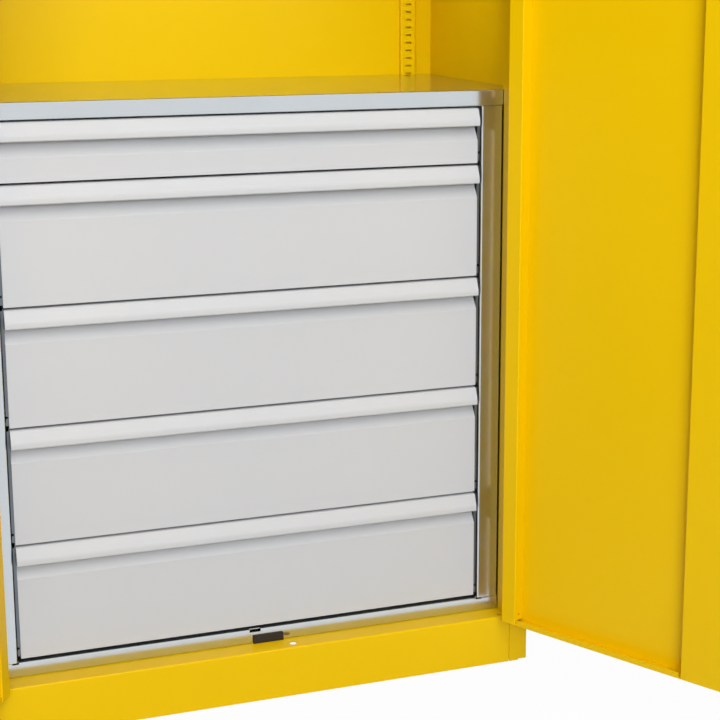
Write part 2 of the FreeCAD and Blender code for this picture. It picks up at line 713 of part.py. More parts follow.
def door_panel(label, side, free_box):
    """A door folded from one sheet, with a box edge at each side and lips at its ends."""
    body = new_body(label)
    gap = f"({SKIN} + door_wall + knuckle_play)"
    inner_wall, free_wall = f"({DOOR_EDGE} - hinge_box)", f"({DOOR_FREE} + {free_box})"
    turns = [
        (inner_wall, DOOR_BACK), (DOOR_EDGE, DOOR_BACK), (DOOR_EDGE, SKIN),
        (DOOR_FREE, SKIN), (DOOR_FREE, DOOR_BACK), (free_wall, DOOR_BACK),
    ]
    path = [(inner_wall, gap), *[(x, y, "door_bend") for x, y in turns], (free_wall, gap)]
    skin_low, skin_high = f"({DOOR_LOW} + door_wall)", f"({DOOR_HIGH} - door_wall)"
    add(body, "XY", mirrored(folded(path, "door_wall", -1), side), skin_low, skin_high)
    end_plate = rectangle(DOOR_FREE, SKIN, DOOR_EDGE, DOOR_BACK, "door_bend + door_wall")
    add(body, "XY", mirrored(end_plate, side), DOOR_LOW, skin_low)
    add(body, "XY", mirrored(end_plate, side), skin_high, DOOR_HIGH)
    lip = rectangle(
        f"{free_wall} + relief", f"{DOOR_BACK} - door_wall", f"{inner_wall} - relief", DOOR_BACK,
    )
    add(body, "XY", mirrored(lip, side), DOOR_LOW, f"{DOOR_LOW} + door_lip")
    add(body, "XY", mirrored(lip, side), f"{DOOR_HIGH} - door_lip", DOOR_HIGH)
    start, finish = f"({inner_wall} - door_wall)", f"({inner_wall} + 2 * door_wall)"
    notch = rectangle(
        start, f"{gap} - knuckle_play / 2", finish, f"{DOOR_BACK} - corner_notch_reach",
    )
    cut(body, "XY", mirrored(notch, side), skin_low, f"{DOOR_LOW} + corner_notch")
    cut(body, "XY", mirrored(notch, side), f"{DOOR_HIGH} - corner_notch", skin_high)
    holes = [
        (f"{DOOR_BACK} - drip_hole_reach", f"{DOOR_LOW} + drip_hole_lift"),
        (f"{DOOR_BACK} - drip_hole_reach", f"{DOOR_HIGH} - drip_hole_lift"),
    ]
    if side == LEFT:
        start, finish = f"(-{finish})", f"(-{start})"
    cut_round(body, "YZ", holes, "drip_hole_radius", start, finish)
    return body


def lock_door():
    """The right door, with the holes for the lock and its rods."""
    body = door_panel("door_right", RIGHT, "lock_box")
    rod = [(ROD_X, ROD_Y)]
    cut_round(body, "XY", rod, "rod_radius + rod_play", f"{DOOR_LOW} - wall", f"{DOOR_LOW} + 2 * wall")
    cut_round(body, "XY", rod, "rod_radius + rod_play", f"{DOOR_HIGH} - 2 * wall", f"{DOOR_HIGH} + wall")
    spindle = [(ROD_X, "lock_height")]
    cut_round(body, "XZ", spindle, "spindle_radius + rod_play", f"{SKIN} - wall", f"{SKIN} + 2 * wall")
    hang_on_door(body, RIGHT)


def plain_door():
    """The left door, which the closing strip holds shut behind the right one."""
    body = door_panel("door_left", LEFT, "lock_box")
    hang_on_door(body, LEFT)


def closing_strip():
    """The strip on the left door's edge that reaches behind the right door."""
    body = new_body("closing_strip")
    low, high = f"({DOOR_LOW} + strip_end)", f"({DOOR_HIGH} - strip_end)"
    near, far = f"(strip_landing - {HINGE_X})", f"(-strip_overlap - {HINGE_X})"
    crown = f"({DOOR_BACK} + strike_depth - wall)"
    path = [
        (f"{near} + lip", DOOR_BACK), (near, DOOR_BACK), (near, crown),
        (far, crown), (far, f"{DOOR_BACK} + strike_play"),
    ]
    add(body, "XY", mirrored(folded(path, "wall", -1), LEFT), low, high)
    hang_on_door(body, LEFT)


def hinge_levels():
    """The foot of each of a door's three hinges."""
    pair = "(2 * knuckle_length + knuckle_play)"
    low, high = f"({DOOR_LOW} + hinge_end)", f"({DOOR_HIGH} - hinge_end - {pair})"
    return [low, f"(({low} + {high}) / 2)", high]


def frame_knuckles(label, side):
    """The lower halves of the hinges, welded to the post, with their pins."""
    body = new_body(label)
    axis = [(f"{side} * {HINGE_X}", "-hinge_out")]
    foot = rectangle(HINGE_X, "-hinge_out", f"{HINGE_X} + knuckle_foot", "0")
    for level in hinge_levels():
        top = f"{level} + knuckle_length"
        add_round(body, "XY", axis, "knuckle_radius", level, top)
        add(body, "XY", mirrored(foot, side), level, top)
        add_round(body, "XY", axis, "pin_radius", top, f"{top} + knuckle_length")


def door_knuckles(label, side):
    """The upper halves of the hinges, welded to the door."""
    body = new_body(label)
    foot = rectangle(f"{DOOR_EDGE} - knuckle_foot", "0", "-hinge_side - knuckle_play", "hinge_out")
    for level in hinge_levels():
        low = f"({level} + knuckle_length + knuckle_play)"
        high = f"({low} + knuckle_length)"
        add_round(body, "XY", [("0", "0")], "knuckle_radius", low, high)
        add(body, "XY", mirrored(foot, side), low, high)
        cut_round(body, "XY", [("0", "0")], "pin_radius + running_fit", f"{low} - wall", f"{high} + wall")
    hang_on_door(body, side)


# Lock, drawn as it stands unlocked: the handle lies level and both rods are drawn in


def handle_plate():
    """The plate behind the handle."""
    body = new_body("handle_plate")
    plate = rectangle(
        f"{ROD_X} - plate_width / 2", "lock_height - plate_length / 2",
        f"{ROD_X} + plate_width / 2", "lock_height + plate_length / 2", "plate_width / 4",
    )
    add(body, "XZ", plate, f"{SKIN} - plate_wall", SKIN)
    cut_round(body, "XZ", [(ROD_X, "lock_height")], "spindle_radius + running_fit",
              f"{SKIN} - plate_wall - wall", f"{SKIN} + wall")
    hang_on_door(body, RIGHT)


def handle_lever():
    """The lever, a boss with a tapered arm, and the bore for the lock core."""
    body = new_body("handle_lever")
    face = f"({SKIN} - plate_wall - knuckle_play)"
    outer = f"({face} - boss_length)"
    axis = [(ROD_X, "lock_height")]
    add_round(body, "XZ", axis, "boss_radius", outer, face)
    arm = [
        (ROD_X, "lock_height - boss_radius", None),
        (f"{ROD_X} + lever_length", "lock_height - lever_end_radius", "lever_end_radius - knuckle_play"),
        (f"{ROD_X} + lever_length", "lock_height + lever_end_radius", "lever_end_radius - knuckle_play"),
        (ROD_X, "lock_height + boss_radius", None),
    ]
    add(body, "XZ", arm, outer, f"{outer} + lever_wall")
    cut_round(body, "XZ", axis, "core_radius + running_fit", f"{outer} - wall", f"{outer} + core_depth")
    hang_on_door(body, RIGHT)


def lock_core():
    """The round core that the key turns."""
    body = new_body("lock_core")
    outer = f"({SKIN} - plate_wall - knuckle_play - boss_length)"
    add_round(body, "XZ", [(ROD_X, "lock_height")], "core_radius", f"{outer} - wall",
              f"{outer} + core_depth - knuckle_play")
    key = rectangle(
        f"{ROD_X} - key_width / 2", "lock_height - key_length / 2",
        f"{ROD_X} + key_width / 2", "lock_height + key_length / 2",
    )
    cut(body, "XZ", key, f"{outer} - 2 * wall", f"{outer} + core_depth / 2")
    hang_on_door(body, RIGHT)


def cam_disc():
    """The spindle, its disc and the two pins that drive the rods."""
    body = new_body("cam_disc")
    axis = [(ROD_X, "lock_height")]
    face = f"({SKIN} - plate_wall - knuckle_play)"
    add_round(body, "XZ", axis, "cam_radius", f"{CAM_FACE} - cam_wall", CAM_FACE)
    add_round(body, "XZ", axis, "spindle_radius", face, f"{CAM_FACE} - cam_wall / 2")
    pins = [
        (f"{ROD_X} - {PIN_REACH}", f"lock_height - {PIN_REACH}"),
        (f"{ROD_X} + {PIN_REACH}", f"lock_height + {PIN_REACH}"),
    ]
    add_round(body, "XZ", pins, "cam_pin_radius", f"{CAM_FACE} - cam_wall / 2",
              f"{CAM_FACE} + yoke_wall + 2 * cam_gap")
    hang_on_door(body, RIGHT)


def lock_rod(label, way):
    """A rod with a flat head, whose slot rides on a cam pin; way is 1 for the upper rod."""
    body = new_body(label)
    slot_level = f"(lock_height - {way} * {PIN_REACH})"
    root = f"({slot_level} + {way} * yoke_drop)"
    edge = DOOR_HIGH if way == 1 else DOOR_LOW
    tip = f"({edge} + {way} * (rod_reach - 2 * {PIN_REACH}))"
    ends = (root, tip) if way == 1 else (tip, root)
    add_round(body, "XY", [(ROD_X, ROD_Y)], "rod_radius", *ends)
    # The upper rod's head lies left of the axis and the lower rod's right of it
    near, far = f"({ROD_X} - {way} * cam_gap)", f"({ROD_X} - {way} * yoke_half)"
    shoulder = f"{ROD_X} + {way} * rod_radius"
    foot = f"{slot_level} - {way} * (cam_pin_radius + yoke_margin)"
    head = [
        (near, foot, None), (near, root, None), (shoulder, root, None),
        (shoulder, f"{root} + {way} * lip", None), (far, f"{root} + {way} * lip", None), (far, foot, None),
    ]
    add(body, "XZ", head, f"{ROD_Y} - yoke_wall / 2", f"{ROD_Y} + yoke_wall / 2")
    half = "(cam_pin_radius + yoke_play)"
    inner_end = f"({ROD_X} - {way} * ({PIN_REACH} - {half}))"
    outer_end = f"({ROD_X} - {way} * (crank + {half}))"
    slot = [
        (inner_end, f"{slot_level} - {half}", None), (outer_end, f"{slot_level} - {half}", None),
        (outer_end, f"{slot_level} + {half}", None), (inner_end, f"{slot_level} + {half}", None),
    ]
    cut(body, "XZ", slot, f"{ROD_Y} - yoke_wall", f"{ROD_Y} + yoke_wall")
    hang_on_door(body, RIGHT)


def rod_guides():
    """Two blocks on the inside of the door's edge that the rods run through."""
    body = new_body("rod_guides")
    back = f"({DOOR_BACK} - door_wall)"
    guide = rectangle(f"{ROD_X} - guide_half", f"{ROD_Y} - guide_half", f"{ROD_X} + guide_half", back)
    for way in (1, -1):
        low = f"(lock_height + {way} * guide_spread)"
        add(body, "XY", guide, low, f"{low} + guide_height")
    for way in (1, -1):
        low = f"(lock_height + {way} * guide_spread)"
        cut_round(body, "XY", [(ROD_X, ROD_Y)], "rod_radius + running_fit",
                  f"{low} - wall", f"{low} + guide_height + wall")
    hang_on_door(body, RIGHT)


def build():
    """Makes every piece."""
    side_panel("side_panel_right", RIGHT)
    side_panel("side_panel_left", LEFT)
    back_panel()
    roof_panel()
    floor_panel()
    strip_faces = [
        ("rear", f"({REAR} - strip_depth)", REAR),
        ("front", "(post_depth + strip_depth)", "post_depth"),
    ]
    for place, face, back in strip_faces:
        slotted_strip(f"slotted_strip_{place}_right", RIGHT, face, back)
        slotted_strip(f"slotted_strip_{place}_left", LEFT, face, back)
    shelf("shelf_lower", "lower_shelf_step")
    shelf("shelf_upper", "upper_shelf_step")
    shelf_hooks()
    block_top()
    block_side("block_side_right", RIGHT)
    block_side("block_side_left", LEFT)
    block_tray()
    stop_pad()
    seam = "(stack_height + 4 * tall_pitch + low_pitch)"
    for number, pitch in enumerate(DRAWERS, 1):
        seam = f"({seam} - {pitch})"
        outer_rails(f"outer_rails_{number}", seam)
        middle_rails(f"middle_rails_{number}", seam)
        inner_rails(f"inner_rails_{number}", seam)
        drawer_box(f"drawer_box_{number}", seam, pitch)
        drawer_front(f"drawer_front_{number}", seam, pitch)
    lock_door()
    plain_door()
    closing_strip()
    for label, side in (("right", RIGHT), ("left", LEFT)):
        frame_knuckles(f"frame_knuckles_{label}", side)
        door_knuckles(f"door_knuckles_{label}", side)
    handle_plate()
    handle_lever()
    lock_core()
    cam_disc()
    lock_rod("lock_rod_upper", 1)
    lock_rod("lock_rod_lower", -1)
    rod_guides()


def check_and_write():
    """Stops on any failed object, then writes each piece to its own file."""
    doc.recompute()
    for item in doc.Objects:
        if "Invalid" in item.State or "Error" in item.State:
            raise RuntimeError(f"{item.Label} is {item.State}")
    for body in NODES:
        if body.Shape.isNull() or not body.Shape.isValid():
            raise RuntimeError(f"{body.Label} has no valid shape")
    os.makedirs("parts", exist_ok=True)
    for body in NODES:
        body.Shape.exportStep(f"parts/{body.Label}.step")
        print(body.Label, len(body.Shape.Solids), round(body.Shape.Volume))


build()
check_and_write()
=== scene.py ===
"""Finishes, small parts, light and camera for a heavy-duty cabinet with a block of drawers."""

import json
import logging
import math
from dataclasses import dataclass
from enum import Enum
from typing import Any

import bmesh
import bpy
from mathutils import Matrix, Vector

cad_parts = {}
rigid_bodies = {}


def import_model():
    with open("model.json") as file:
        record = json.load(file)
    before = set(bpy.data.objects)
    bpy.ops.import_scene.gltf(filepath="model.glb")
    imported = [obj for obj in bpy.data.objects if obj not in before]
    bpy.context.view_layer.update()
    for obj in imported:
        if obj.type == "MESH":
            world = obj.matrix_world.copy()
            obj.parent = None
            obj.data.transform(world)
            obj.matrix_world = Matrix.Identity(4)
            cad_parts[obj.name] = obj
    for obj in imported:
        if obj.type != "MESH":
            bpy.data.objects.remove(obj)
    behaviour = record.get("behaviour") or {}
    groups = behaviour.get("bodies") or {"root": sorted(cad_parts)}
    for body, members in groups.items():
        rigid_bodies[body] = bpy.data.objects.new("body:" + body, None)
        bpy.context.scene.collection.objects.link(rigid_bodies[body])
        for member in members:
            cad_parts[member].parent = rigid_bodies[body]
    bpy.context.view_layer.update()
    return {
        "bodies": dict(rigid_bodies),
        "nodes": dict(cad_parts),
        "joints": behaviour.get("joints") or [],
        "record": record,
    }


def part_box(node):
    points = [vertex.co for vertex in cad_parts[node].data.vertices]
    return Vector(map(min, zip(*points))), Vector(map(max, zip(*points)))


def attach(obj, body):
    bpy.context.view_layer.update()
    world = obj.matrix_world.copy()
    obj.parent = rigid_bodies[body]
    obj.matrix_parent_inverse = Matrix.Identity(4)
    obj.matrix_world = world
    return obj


LOG = logging.getLogger("drawer_cabinet")
MM = 0.001
PICTURE = 720
DRAWERS = 5
NOISE_LOW = 0.3
NOISE_HIGH = 0.7
SRGB_KNEE = 0.04045
SRGB_SLOPE = 12.92
SRGB_OFFSET = 0.055
SRGB_POWER = 2.4


class Side(Enum):
    """A side of the cabinet, seen from the front, as the sign of its x."""

    RIGHT = 1
    LEFT = -1

    @property
    def word(self) -> str:
        """The side as names spell it."""
        return self.name.lower()


class Surface(Enum):
    """The kinds of surface, each named as its shared node group is."""

    SPRAYED = "sprayed_coat"
    ROLLED = "rolled_sheet"


@dataclass(frozen=True)
class Wave:
    """A noise: its waves to the metre and its octaves."""

    scale: float
    detail: float


COAT_SHEEN = Wave(9.0, 2.0)
COAT_TONE = Wave(2.3, 1.0)
SHEET_SHEEN = Wave(26.0, 4.0)
SHEET_TONE = Wave(14.0, 3.0)
PEEL_OCTAVES = 1.0
STREAK_OCTAVES = 2.0
STREAK_STRETCH = (0.04, 0.04, 1.0)


def linear(red: int, green: int, blue: int) -> tuple[float, float, float, float]:
    """Turns a screen colour into the renderer's linear colour.

    Args:
        red: red, from 0 to 255.
        green: green, from 0 to 255.
        blue: blue, from 0 to 255.

    Returns:
        Linear red, green, blue and an alpha of 1.
    """

    def channel(value: int) -> float:
        """Turns one channel, from 0 to 255, into its linear share.

        Args:
            value: the channel's screen value.

        Returns:
            The linear value, from 0 to 1.
        """
        share = value / 255
        if share <= SRGB_KNEE:
            return share / SRGB_SLOPE
        return ((share + SRGB_OFFSET) / (1 + SRGB_OFFSET)) ** SRGB_POWER

    return channel(red), channel(green), channel(blue), 1.0


class Shade:
    """A node tree with short ways to add nodes and links."""

    def __init__(self, tree: bpy.types.NodeTree) -> None:
        """Starts on an empty tree."""
        self.tree = tree

    def add(self, kind: str, **settings: object) -> bpy.types.Node:
        """Adds a node.

        Args:
            kind: the node's type, without its ShaderNode prefix.
            settings: attributes of the node.

        Returns:
            The new node.
        """
        node = self.tree.nodes.new(kind if kind.startswith("Node") else f"ShaderNode{kind}")
        for name, value in settings.items():
            setattr(node, name, value)
        return node

    def join(self, source: bpy.types.NodeSocket, target: bpy.types.NodeSocket) -> None:
        """Links an output to an input."""
        self.tree.links.new(source, target)

    def noise(self, where: bpy.types.NodeSocket, wave: Wave) -> bpy.types.NodeSocket:
        """Adds a noise texture.

        Args:
            where: the coordinates that it reads.
            wave: its scale and detail.

        Returns:
            Its factor.
        """
        node = self.add("TexNoise")
        node.inputs["Scale"].default_value = wave.scale
        node.inputs["Detail"].default_value = wave.detail
        self.join(where, node.inputs["Vector"])
        return node.outputs["Fac"]

    def spread(
        self, value: bpy.types.NodeSocket, low: bpy.types.NodeSocket, high: bpy.types.NodeSocket
    ) -> bpy.types.NodeSocket:
        """Maps the usual span of a noise factor to a range.

        Args:
            value: the factor.
            low: the output that gives the low end.
            high: the output that gives the high end.

        Returns:
            The mapped value.
        """
        node = self.add("MapRange")
        node.inputs["From Min"].default_value = NOISE_LOW
        node.inputs["From Max"].default_value = NOISE_HIGH
        self.join(value, node.inputs["Value"])
        self.join(low, node.inputs["To Min"])
        self.join(high, node.inputs["To Max"])
        return node.outputs["Result"]


class Group:
    """A shader node group with named inputs and outputs, made once."""

    def __init__(self, name: str, inputs: dict[str, float], outputs: tuple[str, ...]) -> None:
        """Makes the group with its sockets.

        Args:
            name: the group's name.
            inputs: each input with its first value.
            outputs: the outputs' names.
        """
        self.tree = bpy.data.node_groups.new(name, "ShaderNodeTree")
        for label, value in inputs.items():
            socket = self.tree.interface.new_socket(
                label, in_out="INPUT", socket_type="NodeSocketFloat"
            )
            socket.default_value = value
        for label in outputs:
            self.tree.interface.new_socket(
                label, in_out="OUTPUT", socket_type="NodeSocketFloat"
            )
        self.shade = Shade(self.tree)
        self.entry = self.shade.add("NodeGroupInput")
        self.exit = self.shade.add("NodeGroupOutput")
        self.where = self.shade.add("TexCoord").outputs["Object"]

    def place(self, shade: Shade, values: dict[str, float]) -> bpy.types.Node:
        """Puts the group in a material.

        Args:
            shade: the material's tree.
            values: the inputs that this material sets.

        Returns:
            The group's node.
        """
        node = shade.add("Group", node_tree=self.tree)
        for name, value in values.items():
            node.inputs[name].default_value = value
        return node


def coat_group() -> Group:
    """Builds the surface of a sprayed and baked coat.

    Returns:
        A group that puts out the fine orange peel, the roughness and a slow change of tone.
    """
    group = Group(
        Surface.SPRAYED.value,
        {
            "Peel scale": 420.0,
            "Rough low": 0.4,
            "Rough high": 0.5,
            "Tone low": 0.97,
            "Tone high": 1.0,
        },
        ("Height", "Roughness", "Tone"),
    )
    shade, entry = group.shade, group.entry
    peel = shade.add("TexNoise")
    peel.inputs["Detail"].default_value = PEEL_OCTAVES
    shade.join(group.where, peel.inputs["Vector"])
    shade.join(entry.outputs["Peel scale"], peel.inputs["Scale"])
    shade.join(peel.outputs["Fac"], group.exit.inputs["Height"])
    cloud = shade.noise(group.where, COAT_SHEEN)
    rough = shade.spread(cloud, entry.outputs["Rough low"], entry.outputs["Rough high"])
    shade.join(rough, group.exit.inputs["Roughness"])
    slow = shade.noise(group.where, COAT_TONE)
    tone = shade.spread(slow, entry.outputs["Tone low"], entry.outputs["Tone high"])
    shade.join(tone, group.exit.inputs["Tone"])
    return group


def rolled_group() -> Group:
    """Builds the surface of rolled and plated sheet.

    Returns:
        A group that puts out faint rolling streaks, the roughness and the tone of the plating.
    """
    group = Group(
        Surface.ROLLED.value,
        {
            "Streaks": 700.0,
            "Rough low": 0.2,
            "Rough high": 0.3,
            "Tone low": 0.93,
            "Tone high": 1.0,
        },
        ("Height", "Roughness", "Tone"),
    )
    shade, entry = group.shade, group.entry
    stretch = shade.add("Mapping")
    stretch.inputs["Scale"].default_value = STREAK_STRETCH
    shade.join(group.where, stretch.inputs["Vector"])
    streak = shade.add("TexNoise")
    streak.inputs["Detail"].default_value = STREAK_OCTAVES
    shade.join(stretch.outputs["Vector"], streak.inputs["Vector"])
    shade.join(entry.outputs["Streaks"], streak.inputs["Scale"])
    shade.join(streak.outputs["Fac"], group.exit.inputs["Height"])
    bloom = shade.noise(group.where, SHEET_SHEEN)
    rough = shade.spread(bloom, entry.outputs["Rough low"], entry.outputs["Rough high"])
    shade.join(rough, group.exit.inputs["Roughness"])
    patch = shade.noise(group.where, SHEET_TONE)
    tone = shade.spread(patch, entry.outputs["Tone low"], entry.outputs["Tone high"])
    shade.join(tone, group.exit.inputs["Tone"])
    return group


@dataclass(frozen=True)
class Finish:
    """A finish: its base colour and how its surface scatters light."""

    name: str
    color: tuple[float, float, float, float]
    surface: Surface
    values: tuple[tuple[str, float], ...]
    metallic: float = 0.0
    specular: float = 0.5
    bump_depth: float = 0.00002

    def material(self, groups: dict[Surface, Group]) -> bpy.types.Material:
        """Builds the material.

        Args:
            groups: the shared node group of each kind of surface.

        Returns:
            The material, with colour, roughness and relief from its nodes.
        """
        made = bpy.data.materials.new(self.name)
        made.use_nodes = True
        shade = Shade(made.node_tree)
        shader = made.node_tree.nodes["Principled BSDF"]
        texture = groups[self.surface].place(shade, dict(self.values))
        tint = shade.add("Mix", data_type="RGBA", blend_type="MULTIPLY")
        tint.inputs["Factor"].default_value = 1.0
        tint.inputs["A"].default_value = self.color
        shade.join(texture.outputs["Tone"], tint.inputs["B"])
        shade.join(tint.outputs["Result"], shader.inputs["Base Color"])
        shade.join(texture.outputs["Roughness"], shader.inputs["Roughness"])
        bump = shade.add("Bump")
        bump.inputs["Distance"].default_value = self.bump_depth
        shade.join(texture.outputs["Height"], bump.inputs["Height"])
        shade.join(bump.outputs["Normal"], shader.inputs["Normal"])
        shader.inputs["Metallic"].default_value = self.metallic
        shader.inputs["Specular IOR Level"].default_value = self.specular
        return made


class Look(Enum):
    """The finishes of the cabinet."""

    YELLOW = Finish(
        "yellow_paint",
        linear(232, 191, 0),
        Surface.SPRAYED,
        (("Rough low", 0.34), ("Rough high", 0.4), ("Tone low", 0.97), ("Tone high", 1.0)),
        specular=0.2,
    )
    GREY = Finish(
        "grey_paint",
        linear(195, 198, 203),
        Surface.SPRAYED,
        (("Rough low", 0.4), ("Rough high", 0.48), ("Tone low", 0.98), ("Tone high", 1.0)),
        specular=0.35,
    )
    ZINC = Finish(
        "zinc_sheet",
        linear(206, 212, 216),
        Surface.ROLLED,
        (("Rough low", 0.15), ("Rough high", 0.2), ("Tone low", 0.97), ("Tone high", 1.0)),
        metallic=0.96,
        bump_depth=0.000001,
    )
    SLIDE = Finish(
        "slide_steel",
        linear(120, 128, 136),
        Surface.ROLLED,
        (("Rough low", 0.28), ("Rough high", 0.4), ("Tone low", 0.85), ("Tone high", 1.0)),
        metallic=1.0,
    )
    CHROME = Finish(
        "lock_steel",
        linear(205, 206, 210),
        Surface.ROLLED,
        (("Rough low", 0.08), ("Rough high", 0.14), ("Tone low", 0.96), ("Tone high", 1.0)),
        metallic=1.0,
    )
    HANDLE = Finish(
        "handle_coat",
        linear(30, 30, 31),
        Surface.SPRAYED,
        (
            ("Peel scale", 1500.0),
            ("Rough low", 0.45),
            ("Rough high", 0.6),
            ("Tone low", 0.85),
            ("Tone high", 1.0),
        ),
        bump_depth=0.00006,
    )
    RUBBER = Finish(
        "black_rubber",
        linear(42, 36, 33),
        Surface.SPRAYED,
        (
            ("Peel scale", 2200.0),
            ("Rough low", 0.6),
            ("Rough high", 0.75),
            ("Tone low", 0.8),
            ("Tone high", 1.0),
        ),
        bump_depth=0.00005,
    )


NODE_LOOKS = (
    ("drawer_", Look.GREY),
    ("shelf_", Look.ZINC),
    ("block_", Look.ZINC),
    ("outer_rails", Look.SLIDE),
    ("middle_rails", Look.SLIDE),
    ("inner_rails", Look.SLIDE),
    ("lock_rod", Look.SLIDE),
    ("cam_disc", Look.SLIDE),
    ("lock_core", Look.CHROME),
    ("handle_", Look.HANDLE),
    ("rod_guides", Look.HANDLE),
    ("stop_pad", Look.RUBBER),
    ("", Look.YELLOW),
)


class Paintshop:
    """Makes each material once and gives it to nodes and new pieces."""

    def __init__(self) -> None:
        """Makes the shared groups and one material for each finish."""
        groups = {Surface.SPRAYED: coat_group(), Surface.ROLLED: rolled_group()}
        self.materials = {look: look.value.material(groups) for look in Look}

    def dress(self, piece: bpy.types.Object, look: Look) -> None:
        """Gives a piece its finish, in place of any it has."""
        piece.data.materials.clear()
        piece.data.materials.append(self.materials[look])

    def dress_nodes(self, nodes: dict[str, bpy.types.Object]) -> None:
        """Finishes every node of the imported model.

        Args:
            nodes: the nodes by name.
        """
        for name, node in nodes.items():
            look = next(look for start, look in NODE_LOOKS if name.startswith(start))
            self.dress(node, look)
            LOG.info("%s: %s", name, look.value.name)


class Workshop:
    """Turns modelled shapes into finished pieces of the cabinet."""

    def __init__(self, frame: dict[str, Any], paintshop: Paintshop) -> None:
        """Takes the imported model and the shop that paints.

        Args:
            paintshop: gives each piece its finish.
        """
        self.nodes: dict[str, bpy.types.Object] = frame["nodes"]
        self.joints = {joint["name"]: joint for joint in frame["record"]["behaviour"]["joints"]}
        self.paintshop = paintshop

    def corners(self, node: str) -> list[Vector]:
        """Lists the corners of a node's mesh at rest.

        Args:
            node: the node's name.

        Returns:
            The corners, in metres.
        """
        return [vertex.co.copy() for vertex in self.nodes[node].data.vertices]

    def fit(self, name: str, shape: bmesh.types.BMesh, look: Look, body: str) -> bpy.types.Object:
        """Makes a piece that rides on a body.

        Args:
            name: the piece's name.
            shape: its shape in the model's frame, which is used up.
            look: its finish.
            body: the body that carries it.

        Returns:
            The piece.
        """
        bmesh.ops.recalc_face_normals(shape, faces=shape.faces)
        mesh = bpy.data.meshes.new(name)
        shape.to_mesh(mesh)
        shape.free()
        piece = bpy.data.objects.new(name, mesh)
        bpy.context.scene.collection.objects.link(piece)
        self.paintshop.dress(piece, look)
        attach(piece, body)
        LOG.info("%s on %s: %d faces", name, body, len(mesh.polygons))
        return piece


@dataclass(frozen=True)
class DrawerEars:
    """The notched ears that close the gap beside a drawer front, in millimetres."""

    reach: float = 4.8
    wall: float = 1.0
    behind_grip: float = 13.0
    foot_gap: float = 4.0
    head_gap: float = 1.0
    notch: tuple[float, float] = (16.0, 20.0)
    notch_depth: float = 3.6
    notch_slope: float = 0.4
    same_level: float = 0.1

    def ear(self, shape: bmesh.types.BMesh, side: Side, low: Vector, high: Vector) -> None:
        """Adds one ear.

        Args:
            shape: the mesh that gets it.
            side: the end of the front.
            low: the front's lowest corner, in metres.
            high: the front's highest corner, in metres.
        """
        sign = side.value
        span = high.z - low.z - (self.foot_gap + self.head_gap) * MM
        middle = Vector((
            sign * (high.x + self.reach * MM / 2),
            low.y + (self.behind_grip + self.wall / 2) * MM,
            low.z + self.foot_gap * MM + span / 2,
        ))
        made = bmesh.ops.create_cube(shape, size=1.0)["verts"]
        bmesh.ops.scale(shape, vec=(self.reach * MM, self.wall * MM, span), verts=made)
        bmesh.ops.translate(shape, vec=middle, verts=made)
        mouth_low, mouth_high = self.notch
        bed_low, bed_high = mouth_low + self.notch_slope, mouth_high - self.notch_slope
        for row in (mouth_low, bed_low, bed_high, mouth_high):
            bmesh.ops.bisect_plane(
                shape,
                geom=[*shape.verts, *shape.edges, *shape.faces],
                plane_co=(0.0, 0.0, low.z + row * MM),
                plane_no=(0.0, 0.0, 1.0),
            )
        bed = (low.z + bed_low * MM, low.z + bed_high * MM)
        outer = [vertex for vertex in shape.verts if sign * vertex.co.x > sign * middle.x]
        cut = [
            vertex for vertex in outer
            if min(abs(vertex.co.z - level) for level in bed) < self.same_level * MM
        ]
        bmesh.ops.translate(shape, vec=(-sign * self.notch_depth * MM, 0.0, 0.0), verts=cut)

    def build(self, workshop: Workshop, number: int) -> bpy.types.Object:
        """Makes both ears of a drawer.

        Args:
            workshop: makes the piece.
            number: the drawer's number.

        Returns:
            The piece, which slides with its drawer.
        """
        low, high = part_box(f"drawer_front_{number}")
        shape = bmesh.new()
        for side in Side:
            self.ear(shape, side, low, high)
        return workshop.fit(f"drawer_ears_{number}", shape, Look.SLIDE, f"drawer_{number}")


@dataclass(frozen=True)
class SeamBacking:
    """The strip behind the groove between the plinth and a leg, in millimetres."""

    inner: float = 459.0
    outer: float = 467.5
    front: float = 1.7
    wall: float = 1.0
    foot: float = 3.0
    head: float = 86.0
    edge: float = 0.25

    def build(self, workshop: Workshop, side: Side) -> bpy.types.Object:
        """Makes the strip at one end of the plinth.

        Args:
            workshop: makes the piece.
            side: the end of the plinth.

        Returns:
            The piece, which is fixed to the carcass.
        """
        shape = bmesh.new()
        strip = bmesh.ops.create_cube(shape, size=1.0)["verts"]
        size = Vector((self.outer - self.inner, self.wall, self.head - self.foot)) * MM
        middle = Vector((
            side.value * (self.outer + self.inner) / 2,
            self.front + self.wall / 2,
            (self.foot + self.head) / 2,
        )) * MM
        bmesh.ops.scale(shape, vec=size, verts=strip)
        bmesh.ops.bevel(
            shape, geom=shape.edges[:], offset=self.edge * MM, offset_type="OFFSET", segments=2,
            profile=0.5, affect="EDGES", material=-1,
        )
        bmesh.ops.translate(shape, vec=middle, verts=shape.verts)
        return workshop.fit(f"seam_backing_{side.word}", shape, Look.YELLOW, "carcass")


